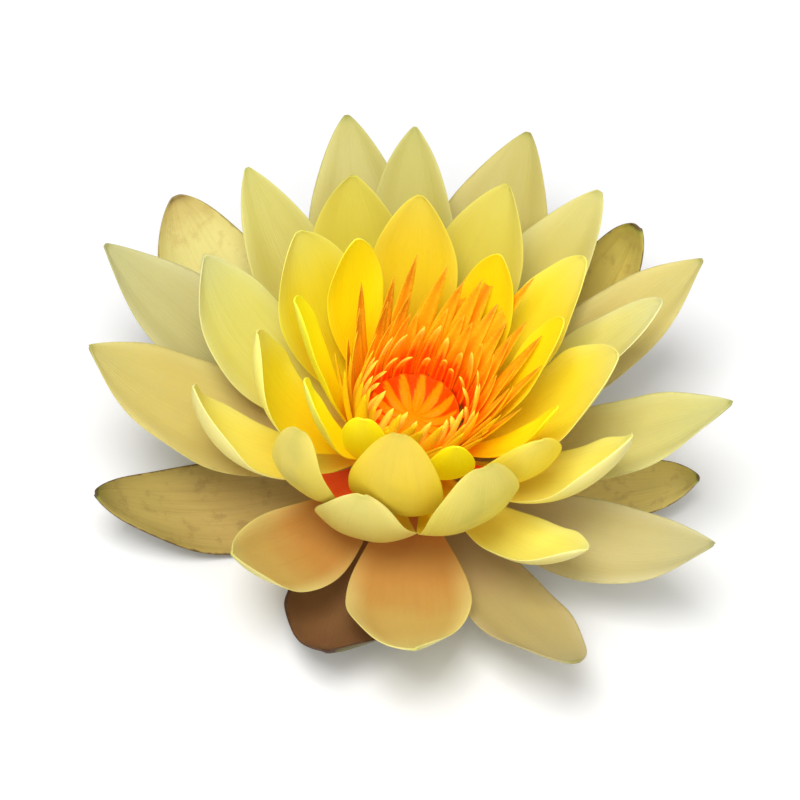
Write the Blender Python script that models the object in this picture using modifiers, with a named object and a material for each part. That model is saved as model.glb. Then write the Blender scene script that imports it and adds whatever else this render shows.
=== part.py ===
"""Open water lily flower head: sepals, petals, stamens and pistil.

Metres, +Z up.  The stem was cut flush under the head.  Its cut end and the five
sepals lie on z = 0, and the origin is under the middle of the flower's outline.
"""

from collections import namedtuple
from math import cos, pi, radians, sin

import bmesh
import bpy
from mathutils import Matrix, Vector

MM = 0.001

# Where the flower's axis meets the ground, and how far the axis frame is lifted.
AXIS_X = 2.3 * MM
AXIS_Y = -4.6 * MM
SEAT_HEIGHT = 2.3 * MM

# One petal's grid: steps along its length and across its width.
PETAL_ROWS = 8
PETAL_COLUMNS = 4
# The grid ends just short of the point, where the petal is still a little wide.
PETAL_END = 0.985
# Towards the base a petal folds more, over this share of its length.
FOLD_LENGTH = 0.35
# Powers that shape a petal's swell up to its widest place, its narrowing beyond it
# and the easing of the fold.
SWELL_POWER = 1.3
NARROW_POWER = 1.75
FOLD_POWER = 1.5

# base_radius, base_height and thickness in mm.  Shares of the length: widest.
# Shares of the half width: base_share.  Folds are half arc angles in degrees.
Kind = namedtuple(
    "Kind", "base_radius base_height thickness base_share widest point base_fold fold"
)
KINDS = {
    "sepal": Kind(8.5, 5.0, 0.7, 0.30, 0.50, 0.72, 40, 24),
    "outer_petal": Kind(10.0, 7.5, 0.6, 0.24, 0.54, 0.80, 45, 24),
    "second_petal": Kind(11.0, 9.5, 0.6, 0.24, 0.54, 0.80, 45, 26),
    "third_petal": Kind(12.0, 11.5, 0.55, 0.24, 0.56, 0.75, 45, 30),
    "fourth_petal": Kind(13.0, 13.5, 0.5, 0.24, 0.58, 0.70, 45, 32),
    "inner_petal": Kind(13.7, 15.5, 0.5, 0.28, 0.60, 0.62, 40, 32),
    "small_petal": Kind(14.0, 17.5, 0.5, 0.35, 0.60, 0.60, 35, 30),
}
BOAT_FOLD = 46

# heading, rises and roll in degrees; length, width and lift in mm.  The heading turns
# anticlockwise from +X.  A petal starts out at base_rise and bends up to tip_rise.
# fold and point replace the kind's own where a petal is folded like a boat or is blunt.
Petal = namedtuple(
    "Petal",
    "kind heading length width base_rise tip_rise roll lift fold point",
    defaults=[None, None],
)
PETALS = [
    Petal("sepal", 201, 69, 24, -28, 48, -12, -0.3),
    Petal("sepal", 258, 59, 32, -30, 50, 12, -0.5),
    Petal("sepal", 0, 60, 26, -28, 38, -4, -0.9),
    Petal("sepal", 50, 79, 29, -26, 70, -12, -1.7, point=0.6),
    Petal("sepal", 140, 83, 33, -24, 70, -14, -1.8, point=0.6),
    Petal("outer_petal", 106, 77, 27, 4, 40, -14, -0.3),
    Petal("outer_petal", 75, 76, 30, 8, 40, -10, -1.1),
    Petal("outer_petal", 32, 71, 26, 8, 46, -8, 0.3),
    Petal("outer_petal", 354, 69, 23, 10, 52, 4, 1.7),
    Petal("outer_petal", 331, 73, 20, -10, 52, 24, -0.5),
    Petal("outer_petal", 301, 70, 22, -14, 44, -10, -1.5, point=0.6),
    Petal("outer_petal", 185, 72, 27, 2, 56, -12, -0.2),
    Petal("outer_petal", 159, 75, 25, 8, 42, -6, -1.8),
    Petal("second_petal", 95, 67, 23, 12, 50, -14, 0.3),
    Petal("second_petal", 57, 65, 26, 16, 36, -14, 0.0),
    Petal("second_petal", 129, 66, 21, 11, 46, -10, -0.8),
    Petal("second_petal", 274, 64, 28, -17, 54, 4, -1.1),
    Petal("second_petal", 237, 63, 22, -14, 66, -20, -0.6, fold=34),
    Petal("third_petal", 112, 54, 26, 17, 72, -24, 0.1),
    Petal("third_petal", 70, 53, 24, 37, 60, -10, 0.4),
    Petal("third_petal", 15, 58, 22, 28, 60, -14, -0.3),
    Petal("third_petal", 164, 59, 23, 14, 80, -18, -1.1),
    Petal("third_petal", 202, 59, 22, -6, 92, 4, -1.3, fold=BOAT_FOLD),
    Petal("third_petal", 311, 57, 19, -8, 66, -4, -1.5, fold=BOAT_FOLD),
    Petal("third_petal", 330, 62, 23, 6, 84, -2, 0.2, fold=BOAT_FOLD),
    Petal("third_petal", 256, 45, 24, -14, 108, 4, -1.6, fold=36, point=0.65),
    Petal("fourth_petal", 95, 46, 21, 48, 77, -12, 1.8),
    Petal("fourth_petal", 29, 51, 21, 46, 73, -4, -0.3),
    Petal("fourth_petal", 352, 51, 25, 34, 74, 10, 0.3),
    Petal("fourth_petal", 145, 48, 24, 45, 80, -12, -0.2),
    Petal("fourth_petal", 198, 52, 21, 26, 98, -20, 0.0, fold=BOAT_FOLD),
    Petal("fourth_petal", 233, 51, 17, -4, 112, 4, 1.2, point=0.5),
    Petal("fourth_petal", 294, 51, 24, -8, 114, 8, 1.4, point=0.45),
    Petal("inner_petal", 51, 41, 15, 60, 89, 8, 0.3),
    Petal("inner_petal", 135, 44, 15, 56, 102, -10, 1.8),
    Petal("inner_petal", 2, 42, 15, 56, 78, 4, 1.7),
    Petal("inner_petal", 182, 42, 18, 62, 80, 8, 0.9),
    Petal("inner_petal", 218, 38, 14, 46, 84, -20, 0.6),
    Petal("inner_petal", 266, 50, 22, 4, 124, -4, 0.0, point=0.55),
    Petal("inner_petal", 318, 41, 20, 10, 96, -24, 0.5, fold=44),
    Petal("small_petal", 246, 31, 11, 46, 90, 18, 0.3, point=0.45),
    Petal("small_petal", 291, 29, 11, 32, 92, -16, 0.4),
    Petal("small_petal", 330, 37, 10, 32, 78, 6, 1.6),
]

# Each ring of stamens: how many, where its band sits, and how its blades rise.  Sizes in
# mm, angles in degrees; first is the heading of the first blade.
Ring = namedtuple("Ring", "count radius height length base_rise tip_rise root tip first")
STAMEN_RINGS = [
    Ring(14, 12.5, 17.6, 24.0, 76, 68, 2.5, 0.9, 8),
    Ring(14, 11.85, 18.7, 20.0, 77, 79, 2.3, 0.9, 21),
    Ring(13, 11.2, 19.8, 16.5, 82, 88, 2.1, 0.9, 4),
    Ring(13, 10.55, 20.9, 13.0, 88, 98, 1.8, 0.9, 18),
    Ring(12, 9.9, 22.0, 9.0, 96, 122, 1.6, 0.9, 9),
]
STAMEN_BAND = 0.9
STAMEN_THICKNESS = 0.4
BLADE_STEPS = 2
# The longest blades lean this far to +X at their tips, and shorter ones less.
STAMEN_LEAN = 1.5
# The lean grows along a blade with this power.
LEAN_POWER = 1.5

# Pistil, receptacle and stem in one turned piece: radius and height in mm, from the
# middle of the hollow stigma disc over its rim and down to the cut stem.
PISTIL_PROFILE = [
    (0.0, 21.2),
    (1.8, 20.8),
    (2.6, 19.9),
    (4.8, 19.7),
    (7.2, 21.0),
    (8.5, 23.4),
    (8.9, 23.7),
    (9.2, 23.2),
    (9.2, 14.5),
    (8.9, 11.5),
    (8.2, 8.0),
    (6.6, 5.0),
    (5.2, 2.2),
    (4.6, 0.5),
    (4.6, -2.3),
    (0.0, -2.3),
]
PISTIL_STEPS = 28
MERGE_DISTANCE = 0.00001

# Colour, roughness of each finish; no part is metallic.
FINISHES = {
    "sepal": ((0.36, 0.28, 0.11), 0.62),
    "outer_petal": ((0.72, 0.66, 0.38), 0.55),
    "second_petal": ((0.80, 0.72, 0.34), 0.52),
    "third_petal": ((0.86, 0.78, 0.28), 0.50),
    "fourth_petal": ((0.90, 0.76, 0.16), 0.48),
    "inner_petal": ((0.93, 0.72, 0.06), 0.46),
    "small_petal": ((0.93, 0.78, 0.04), 0.46),
    "stamen": ((0.95, 0.42, 0.03), 0.5),
    "pistil": ((0.90, 0.26, 0.03), 0.5),
}


def clear_scene():
    """Remove every object that the scene starts with."""
    for item in list(bpy.data.objects):
        bpy.data.objects.remove(item, do_unlink=True)


def make_material(name, colour, roughness):
    """Return a Principled material of one colour and roughness."""
    material = bpy.data.materials.new(name)
    material.use_nodes = True
    shader = material.node_tree.nodes["Principled BSDF"]
    shader.inputs["Base Color"].default_value = (*colour, 1.0)
    shader.inputs["Roughness"].default_value = roughness
    shader.inputs["Metallic"].default_value = 0.0
    return material


def half_width_share(along, kind, point):
    """Share of the half width at a share of the length: spoon-shaped with a point."""
    if along < kind.widest:
        swell = sin(along / kind.widest * pi / 2) ** SWELL_POWER
        return kind.base_share + (1 - kind.base_share) * swell
    beyond = (along - kind.widest) / (1 - kind.widest)
    return (1 - beyond**NARROW_POWER) ** point


def spine_point(along, length, base_rise, tip_rise):
    """Point, direction and upward normal of a spine whose rise grows evenly."""
    rise = base_rise + (tip_rise - base_rise) * along
    radius = length / (tip_rise - base_rise)
    point = Vector(
        (radius * (sin(rise) - sin(base_rise)), 0.0, radius * (cos(base_rise) - cos(rise)))
    )
    direction = Vector((cos(rise), 0.0, sin(rise)))
    normal = Vector((-sin(rise), 0.0, cos(rise)))
    return point, direction, normal


def petal_mesh(name, petal, kind):
    """Open petal surface in its own frame: base at the origin, outwards along +X."""
    shape = bmesh.new()
    bmesh.ops.create_grid(shape, x_segments=PETAL_ROWS, y_segments=PETAL_COLUMNS, size=0.5)
    fold = radians(petal.fold or kind.fold)
    base_fold = radians(kind.base_fold)
    for vertex in shape.verts:
        along = min(vertex.co.x + 0.5, PETAL_END)
        across = vertex.co.y * 2
        point, direction, normal = spine_point(
            along, petal.length * MM, radians(petal.base_rise), radians(petal.tip_rise)
        )
        turn = Matrix.Rotation(radians(petal.roll), 3, direction)
        side = turn @ Vector((0.0, 1.0, 0.0))
        normal = turn @ normal
        extra = max(1 - along / FOLD_LENGTH, 0.0) ** FOLD_POWER
        angle = fold + (base_fold - fold) * extra
        share = half_width_share(along, kind, petal.point or kind.point)
        radius = petal.width * MM / 2 * share / angle
        sideways = side * radius * sin(across * angle)
        upwards = normal * radius * (1 - cos(across * angle))
        vertex.co = point + sideways + upwards
    mesh = bpy.data.meshes.new(name)
    shape.to_mesh(mesh)
    shape.free()
    return mesh


def blade_point(ring, heading, along):
    """Point and half width of a stamen's blade, in mm, at a share of its length."""
    point = spine_point(along, ring.length, radians(ring.base_rise), radians(ring.tip_rise))[0]
    outwards = Vector((cos(heading), sin(heading), 0.0))
    lean = STAMEN_LEAN * ring.length / STAMEN_RINGS[0].length * along**LEAN_POWER
    centre = outwards * (ring.radius + point.x)
    centre += Vector((lean, 0.0, ring.height + STAMEN_BAND + point.z))
    half_width = (ring.root + (ring.tip - ring.root) * along) / 2
    return centre, half_width


def stamen_mesh(name, ring):
    """Open surface of one ring of stamens: a band whose blades are drawn up from it."""
    shape = bmesh.new()
    bmesh.ops.create_cone(
        shape,
        cap_ends=False,
        segments=2 * ring.count,
        radius1=ring.radius * MM,
        radius2=ring.radius * MM,
        depth=STAMEN_BAND * MM,
    )
    spacing = 2 * pi / ring.count
    root_angle = ring.root / ring.radius
    first = radians(ring.first)
    rims = {False: [], True: []}
    for vertex in shape.verts:
        rims[vertex.co.z > 0].append(vertex)
    placed = {}
    for is_top, rim in rims.items():
        rim.sort(key=lambda corner: Vector((1, 0)).angle_signed(corner.co.xy) % (2 * pi), reverse=True)
        for place, vertex in enumerate(rim):
            blade, is_end = divmod(place, 2)
            angle = first + blade * spacing + (root_angle / 2 if is_end else -root_angle / 2)
            height = ring.height + (STAMEN_BAND if is_top else 0.0)
            vertex.co = Vector((ring.radius * cos(angle), ring.radius * sin(angle), height)) * MM
            placed[vertex] = blade, is_end
    tops = set(rims[True])
    roots = [
        edge
        for edge in shape.edges
        if tops.issuperset(edge.verts) and placed[edge.verts[0]][0] == placed[edge.verts[1]][0]
    ]
    for root in roots:
        blade = placed[root.verts[0]][0]
        heading = first + blade * spacing
        side = Vector((-sin(heading), cos(heading), 0.0))
        edge = root
        for step in range(1, BLADE_STEPS + 1):
            grown = bmesh.ops.extrude_edge_only(shape, edges=[edge])["geom"]
            corners = [item for item in grown if isinstance(item, bmesh.types.BMVert)]
            edge = next(
                item
                for item in grown
                if isinstance(item, bmesh.types.BMEdge) and set(item.verts) == set(corners)
            )
            centre, half_width = blade_point(ring, heading, step / BLADE_STEPS)
            corners.sort(key=lambda corner: corner.co.dot(side))
            corners[0].co = (centre - side * half_width) * MM
            corners[1].co = (centre + side * half_width) * MM
    mesh = bpy.data.meshes.new(name)
    bmesh.ops.recalc_face_normals(shape, faces=shape.faces)
    shape.to_mesh(mesh)
    shape.free()
    return mesh


def pistil_mesh(name):
    """Half outline of the pistil, receptacle and stem, to be turned about Z."""
    shape = bmesh.new()
    corners = [shape.verts.new((radius * MM, 0.0, height * MM)) for radius, height in PISTIL_PROFILE]
    for upper, lower in zip(corners, corners[1:]):
        shape.edges.new((upper, lower))
    mesh = bpy.data.meshes.new(name)
    shape.to_mesh(mesh)
    shape.free()
    return mesh


def add_object(name, mesh, finish, collection, parent):
    """Put a mesh in the flower with its own material."""
    item = bpy.data.objects.new(name, mesh)
    item.parent = parent
    mesh.materials.append(make_material(name, *FINISHES[finish]))
    collection.objects.link(item)
    return item


def add_wall(item, thickness):
    """Give an open surface its thickness, half to each side."""
    wall = item.modifiers.new("wall", "SOLIDIFY")
    wall.thickness = thickness * MM
    wall.offset = 0.0


def add_petals(collection, flower):
    """Add the sepals and petals, each at its heading around the axis."""
    numbers = dict.fromkeys(KINDS, 0)
    for petal in PETALS:
        kind = KINDS[petal.kind]
        numbers[petal.kind] += 1
        name = f"{petal.kind}_{numbers[petal.kind]}"
        item = add_object(name, petal_mesh(name, petal, kind), petal.kind, collection, flower)
        heading = radians(petal.heading)
        item.location = (
            kind.base_radius * MM * cos(heading),
            kind.base_radius * MM * sin(heading),
            (kind.base_height + petal.lift) * MM,
        )
        item.rotation_euler.z = heading
        add_wall(item, kind.thickness)
        item.data.shade_smooth()


def add_stamens(collection, flower):
    """Add the rings of stamens, from the outermost inwards."""
    for number, ring in enumerate(STAMEN_RINGS, start=1):
        name = f"stamens_{number}"
        item = add_object(name, stamen_mesh(name, ring), "stamen", collection, flower)
        add_wall(item, STAMEN_THICKNESS)


def add_pistil(collection, flower):
    """Add the pistil with the receptacle and the stem's end under it."""
    item = add_object("pistil", pistil_mesh("pistil"), "pistil", collection, flower)
    turn = item.modifiers.new("turn", "SCREW")
    turn.steps = PISTIL_STEPS
    turn.render_steps = PISTIL_STEPS
    turn.use_merge_vertices = True
    turn.merge_threshold = MERGE_DISTANCE
    turn.use_smooth_shade = True


def main():
    """Build the flower in its own collection under one empty."""
    clear_scene()
    collection = bpy.data.collections.new("water_lily")
    bpy.context.scene.collection.children.link(collection)
    flower = bpy.data.objects.new("flower", None)
    flower.location = (AXIS_X, AXIS_Y, SEAT_HEIGHT)
    collection.objects.link(flower)
    add_petals(collection, flower)
    add_stamens(collection, flower)
    add_pistil(collection, flower)


main()
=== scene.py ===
"""Looks of the open water lily flower head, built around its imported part.

Metres, +Z up.  The flower lies on z = 0 on its lowest sepals and its cut stem.
"""

import logging
from dataclasses import dataclass, field, replace
from enum import Enum
from math import cos, pi, radians, sin
from typing import Any, Optional

import bpy
import numpy as np
from mathutils import Matrix, Vector

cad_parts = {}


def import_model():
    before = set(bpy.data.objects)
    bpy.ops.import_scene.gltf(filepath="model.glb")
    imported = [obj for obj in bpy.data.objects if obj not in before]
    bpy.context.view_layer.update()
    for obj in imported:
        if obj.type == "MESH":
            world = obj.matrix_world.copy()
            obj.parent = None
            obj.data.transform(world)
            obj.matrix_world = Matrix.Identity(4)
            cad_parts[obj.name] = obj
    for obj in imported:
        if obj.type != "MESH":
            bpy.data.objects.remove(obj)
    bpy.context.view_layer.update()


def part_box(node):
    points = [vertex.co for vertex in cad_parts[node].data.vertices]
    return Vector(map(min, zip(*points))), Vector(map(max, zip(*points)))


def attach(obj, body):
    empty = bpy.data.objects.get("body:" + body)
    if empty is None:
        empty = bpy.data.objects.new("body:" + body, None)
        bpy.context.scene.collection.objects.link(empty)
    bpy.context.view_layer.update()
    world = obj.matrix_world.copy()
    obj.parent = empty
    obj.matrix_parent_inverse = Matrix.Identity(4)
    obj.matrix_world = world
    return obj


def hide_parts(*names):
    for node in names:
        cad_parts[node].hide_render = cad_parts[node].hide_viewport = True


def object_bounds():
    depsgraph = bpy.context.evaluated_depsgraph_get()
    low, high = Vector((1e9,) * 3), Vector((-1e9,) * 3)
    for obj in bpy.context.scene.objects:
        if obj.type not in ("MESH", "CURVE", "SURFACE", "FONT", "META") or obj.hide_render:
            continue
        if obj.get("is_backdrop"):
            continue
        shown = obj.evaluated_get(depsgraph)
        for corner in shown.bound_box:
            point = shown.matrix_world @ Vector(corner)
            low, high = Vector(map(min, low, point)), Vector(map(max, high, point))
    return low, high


LOG = logging.getLogger("water_lily")

MM = 0.001
BODY = "root"
Colour = tuple[float, float, float]
Ramp = tuple[tuple[float, Colour], ...]


def paint(red: int, green: int, blue: int) -> Colour:
    """Turn a paint-chart colour, 0 to 255 a channel, into linear light.

    Args:
        red: red of the chart colour.
        green: green of the chart colour.
        blue: blue of the chart colour.

    Returns:
        The three channels in linear light.
    """
    shares = (channel / 255 for channel in (red, green, blue))
    return tuple(s / 12.92 if s <= 0.04045 else ((s + 0.055) / 1.055) ** 2.4 for s in shares)


def ramp(*stops: tuple[float, int, int, int]) -> Ramp:
    """Make colour stops from places and paint-chart colours, from base to tip.

    Args:
        stops: a place from 0 to 1 with the red, green and blue of its colour.

    Returns:
        Pairs of place and colour in linear light.
    """
    return tuple((place, paint(*chart)) for place, *chart in stops)


def smooth_step(values: np.ndarray, low: float, high: float) -> np.ndarray:
    """Rise smoothly from 0 at low to 1 at high.

    Args:
        values: the numbers to map.
        low: where the rise starts.
        high: where it ends.

    Returns:
        The mapped numbers, each from 0 to 1.
    """
    share = np.clip((values - low) / (high - low), 0.0, 1.0)
    return share * share * (3 - 2 * share)


# ---------------------------------------------------------------- shader tools


class Shade:
    """One output socket; arithmetic on it adds Math nodes to its material."""

    def __init__(self, bench: "DyeBench", socket: bpy.types.NodeSocket) -> None:
        """Wrap a socket of a bench's material."""
        self.bench = bench
        self.socket = socket

    def _math(self, operation: str, *values: Any) -> "Shade":
        """Add one Math node.

        Args:
            operation: the node's operation.
            values: its inputs, shades or numbers, in order.

        Returns:
            The node's output.
        """
        return self.bench.node("ShaderNodeMath", {"operation": operation}, dict(enumerate(values)))

    def __add__(self, other: Any) -> "Shade":
        """Add a shade or number."""
        return self._math("ADD", self, other)

    def __radd__(self, other: float) -> "Shade":
        """Add to a number."""
        return self._math("ADD", other, self)

    def __sub__(self, other: Any) -> "Shade":
        """Take away a shade or number."""
        return self._math("SUBTRACT", self, other)

    def __rsub__(self, other: float) -> "Shade":
        """Take away from a number."""
        return self._math("SUBTRACT", other, self)

    def __mul__(self, other: Any) -> "Shade":
        """Multiply by a shade or number."""
        return self._math("MULTIPLY", self, other)

    def __rmul__(self, other: float) -> "Shade":
        """Multiply a number."""
        return self._math("MULTIPLY", other, self)

    def __abs__(self) -> "Shade":
        """Drop the sign."""
        return self._math("ABSOLUTE", self)

    def highest(self, other: Any) -> "Shade":
        """Take the larger of two."""
        return self._math("MAXIMUM", self, other)

    def step(self, low: float, high: float) -> "Shade":
        """Rise smoothly from 0 at low to 1 at high.

        Args:
            low: where the rise starts.
            high: where it ends; below low, the shade falls instead.

        Returns:
            A mask from 0 to 1.
        """
        settings = {"interpolation_type": "SMOOTHSTEP"}
        if low < high:
            sockets = {"Value": self, "From Min": low, "From Max": high, "To Min": 0.0, "To Max": 1.0}
        else:
            sockets = {"Value": self, "From Min": high, "From Max": low, "To Min": 1.0, "To Max": 0.0}
        return self.bench.node("ShaderNodeMapRange", settings, sockets)


class DyeBench:
    """One material in the making, with its Principled shader."""

    def __init__(self, name: str) -> None:
        """Start a material that holds only its shader and output."""
        self.material = bpy.data.materials.new(name)
        self.material.use_nodes = True
        self.tree = self.material.node_tree
        self.shader = self.tree.nodes["Principled BSDF"]

    def node(
        self,
        kind: str,
        settings: Optional[dict[str, Any]] = None,
        sockets: Optional[dict[Any, Any]] = None,
        output: int = 0,
    ) -> Shade:
        """Add any node.

        Args:
            kind: the node's type.
            settings: its properties, set first; "stops" fills a colour ramp.
            sockets: values or shades for its inputs, by name or place.
            output: which output to hand back.

        Returns:
            The chosen output.
        """
        made = self.tree.nodes.new(kind)
        for name, setting in (settings or {}).items():
            if name == "stops":
                self._fill_ramp(made.color_ramp, setting)
            else:
                setattr(made, name, setting)
        for key, value in (sockets or {}).items():
            self._feed(made.inputs[key], value)
        return Shade(self, made.outputs[output])

    @staticmethod
    def _fill_ramp(ramp: bpy.types.ColorRamp, stops: Ramp) -> None:
        """Give a colour ramp its stops, as (place, colour) pairs in order."""
        ramp.interpolation = "EASE"
        while len(ramp.elements) < len(stops):
            ramp.elements.new(1.0)
        for element, (place, colour) in zip(ramp.elements, stops):
            element.position = place
            element.color = (*colour, 1.0)

    def _feed(self, socket: bpy.types.NodeSocket, value: Any) -> None:
        """Link a shade to a socket, or set a plain value on it."""
        if isinstance(value, Shade):
            self.tree.links.new(value.socket, socket)
        elif socket.type == "RGBA" and len(value) == 3:
            socket.default_value = (*value, 1.0)
        else:
            socket.default_value = value

    def set(self, **sockets: Any) -> None:
        """Feed the shader's sockets, named with underscores for spaces."""
        for name, value in sockets.items():
            self._feed(self.shader.inputs[name.replace("_", " ")], value)

    def mix(self, share: Any, first: Any, second: Any) -> Shade:
        """Blend two colours.

        Args:
            share: 0 for the first colour, 1 for the second.
            first: a colour or shade.
            second: a colour or shade.

        Returns:
            The blended colour.
        """
        settings = {"data_type": "RGBA", "clamp_factor": True}
        return self.node("ShaderNodeMix", settings, {0: share, 6: first, 7: second}, output=2)

    def attribute(self, name: str) -> Shade:
        """Read a number that is stored on the mesh."""
        return self.node("ShaderNodeAttribute", {"attribute_name": name}, output=2)

    def uv(self) -> tuple[Shade, Shade]:
        """Read the piece's own map: along its length and across it."""
        flat = self.node("ShaderNodeUVMap", {"uv_map": "UVMap"})
        parts = {"Vector": flat}
        return (
            self.node("ShaderNodeSeparateXYZ", None, parts, output=0),
            self.node("ShaderNodeSeparateXYZ", None, parts, output=1),
        )

    def place(self) -> Shade:
        """Read the point on the object, in metres."""
        return self.node("ShaderNodeTexCoord", output=3)

    def vector(self, x: Any, y: Any, z: Any) -> Shade:
        """Join three numbers or shades to a vector."""
        return self.node("ShaderNodeCombineXYZ", None, {0: x, 1: y, 2: z})

    def noise(self, where: Shade, scale: float, detail: float = 2.0, rough: float = 0.5) -> Shade:
        """Add soft noise.

        Args:
            where: the point that it reads.
            scale: how many waves to a unit.
            detail: how many finer layers it has.
            rough: how strong the finer layers are.

        Returns:
            The noise, around 0.5.
        """
        sockets = {"Vector": where, "Scale": scale, "Detail": detail, "Roughness": rough}
        return self.node("ShaderNodeTexNoise", {"noise_dimensions": "3D"}, sockets)

    def bump(self, height: Shade, depth: float) -> Shade:
        """Turn a height into a bump of that depth in metres."""
        return self.node("ShaderNodeBump", None, {"Height": height, "Distance": depth, "Strength": 1.0})


# -------------------------------------------------------------------- finishes


@dataclass(frozen=True)
class PetalFinish:
    """How one sort of petal is coloured, on its inner and its outer face.

    The stops run from the base to the tip.  Each share says how strongly its colour shows.
    """

    inner: Ramp
    outer: Ramp
    # On the petals the paler edge is partly the rim's own colour and partly painted light shining through
    # the thin rim.
    edge: Colour
    edge_share: float = 0.35
    vein: Colour = paint(190, 150, 60)
    vein_share: float = 0.08
    # Painted shade, partly the outer face's own olive: a cloudy band down the middle of the outer face.
    olive_and_shade: Colour = paint(196, 190, 92)
    olive_and_shade_share: float = 0.0
    spot: Colour = paint(120, 90, 45)
    spot_share: float = 0.0
    tip: Colour = paint(150, 160, 50)
    tip_share: float = 0.5
    burnt: Colour = paint(75, 45, 35)
    burnt_share: float = 0.0
    roughness: float = 0.5
    glow: float = 0.35
    # painted_glow: emission in the petal's own colour, a painted glow that lifts its shaded parts; the
    # petal is no lamp.
    painted_glow: float = 0.0

    def dye(self, name: str, seed: float, tint_and_light: Colour) -> bpy.types.Material:
        """Make the material.

        Args:
            name: the material's name.
            seed: shifts the patterns, so that no two petals look alike.
            tint_and_light: multiplies the whole petal's colour; partly the petal's own colour, partly
                painted light and shade for where it sits lit or shaded.

        Returns:
            The material.
        """
        bench = DyeBench(name)
        along, across = bench.uv()
        inside = bench.attribute("inner")
        place = bench.place()
        off_middle = abs(across * 2.0 - 1.0)
        cloud = bench.noise(place, 90.0, 3.0)
        streak = bench.noise(bench.vector(along * 2.5, across * 20.0, seed), 1.0, 3.0, 0.6)
        fine = bench.noise(bench.vector(along * 9.0, across * 90.0, seed + 3.7), 1.0, 2.0)
        drift = along + (cloud - 0.5) * 0.14 + (streak - 0.5) * 0.06
        front = bench.node("ShaderNodeValToRGB", {"stops": self.inner}, {0: drift})
        back = bench.node("ShaderNodeValToRGB", {"stops": self.outer}, {0: drift})
        # Painted shade, partly the petal's own olive: a cloudy band down the middle of the outer face.
        olive_and_shade_mask = off_middle.step(0.75, 0.1) * along.step(0.25, 0.6) * cloud.step(0.3, 0.75)
        back = bench.mix(olive_and_shade_mask * self.olive_and_shade_share, back, self.olive_and_shade)
        colour = bench.mix(inside, back, front)
        # Towards the edges: on the petals a paler rim, partly its own colour and partly painted light
        # shining through the thin rim.
        thin = off_middle.step(0.6, 1.0) * along.step(0.15, 0.5) * self.edge_share
        colour = bench.mix(thin, colour, self.edge)
        lines = streak.step(0.45, 0.8) * along.step(0.05, 0.3)
        colour = bench.mix(lines * self.vein_share, colour, self.vein)
        if self.spot_share:
            blots = bench.noise(place, 260.0, 4.0, 0.65).step(0.5, 0.68)
            colour = bench.mix(blots * self.spot_share, colour, self.spot)
        end = (along + (cloud - 0.5) * 0.06).step(0.93, 0.995)
        colour = bench.mix(end * self.tip_share, colour, self.tip)
        if self.burnt_share:
            ragged = bench.noise(place, 420.0, 3.0, 0.7)
            rim = (off_middle + (ragged - 0.5) * 0.14).step(0.93, 0.99)
            rim = rim.highest((along + (ragged - 0.5) * 0.05).step(0.965, 0.99))
            colour = bench.mix(rim * self.burnt_share, colour, self.burnt)
        # Painted light and shade, partly own colour: tint_and_light lightens or darkens the whole petal.
        colour = bench.node("ShaderNodeVectorMath", {"operation": "MULTIPLY"}, {0: colour, 1: tint_and_light})
        relief = streak * 0.6 + fine * 0.4
        bench.set(
            Base_Color=colour,
            Roughness=cloud * 0.2 + (self.roughness - 0.1),
            Normal=bench.bump(relief, 0.00014),
            Subsurface_Weight=self.glow,
            Subsurface_Radius=(1.0, 0.75, 0.25),
            Subsurface_Scale=0.0012,
            # Painted glow: the colour is given off as light at painted_glow strength.
            Emission_Color=colour,
            Emission_Strength=self.painted_glow,
            IOR=1.4,
        )
        return bench.material


RED = (248, 50, 0)

SEPAL_FINISH = PetalFinish(
    inner=ramp((0.0, 190, 140, 80), (0.3, 184, 156, 90), (0.75, 172, 152, 84), (1.0, 130, 116, 54)),
    outer=ramp((0.0, 120, 100, 40), (0.5, 112, 104, 44), (1.0, 90, 84, 36)),
    edge=paint(150, 136, 70),
    vein=paint(120, 96, 44),
    vein_share=0.25,
    spot=paint(120, 92, 52),
    spot_share=0.3,
    tip=paint(110, 124, 40),
    burnt=paint(62, 34, 30),
    burnt_share=0.8,
    roughness=0.55,
    glow=0.15,
)
DARK_SEPAL_FINISH = replace(
    SEPAL_FINISH,
    inner=ramp((0.0, 170, 110, 60), (0.4, 132, 92, 54), (0.8, 124, 84, 52), (1.0, 92, 62, 42)),
    edge=paint(70, 46, 28),
    tip=paint(60, 40, 26),
)
PALE_SEPAL_FINISH = replace(
    SEPAL_FINISH,
    inner=ramp((0.0, 214, 190, 110), (0.4, 226, 210, 130), (0.75, 236, 224, 150), (1.0, 214, 190, 120)),
    edge=paint(214, 196, 120),
    edge_share=0.5,
    vein_share=0.12,
    spot=paint(190, 150, 80),
    spot_share=0.25,
    tip=paint(120, 96, 50),
    burnt=paint(120, 96, 50),
    burnt_share=0.55,
)
OUTER_FINISH = PetalFinish(
    inner=ramp((0.0, 196, 150, 80), (0.22, 198, 172, 104), (0.5, 202, 186, 108), (1.0, 200, 190, 118)),
    outer=ramp((0.0, 184, 166, 90), (0.5, 188, 178, 98), (1.0, 174, 168, 84)),
    edge=paint(216, 208, 146),
    tip=paint(150, 156, 60),
    burnt=paint(120, 96, 56),
    burnt_share=0.25,
)
SECOND_FINISH = PetalFinish(
    inner=ramp((0.0, 226, 150, 50), (0.2, 216, 184, 80), (0.5, 214, 196, 92), (1.0, 214, 204, 118)),
    outer=ramp((0.0, 212, 184, 84), (0.5, 210, 196, 102), (1.0, 198, 190, 102)),
    edge=paint(228, 220, 150),
    tip_share=0.25,
)
TAN_FINISH = replace(
    SECOND_FINISH,
    inner=ramp((0.0, 204, 120, 50), (0.3, 188, 136, 66), (0.6, 196, 166, 90), (1.0, 216, 204, 122)),
    edge=paint(218, 206, 132),
    edge_share=0.55,
)
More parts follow.
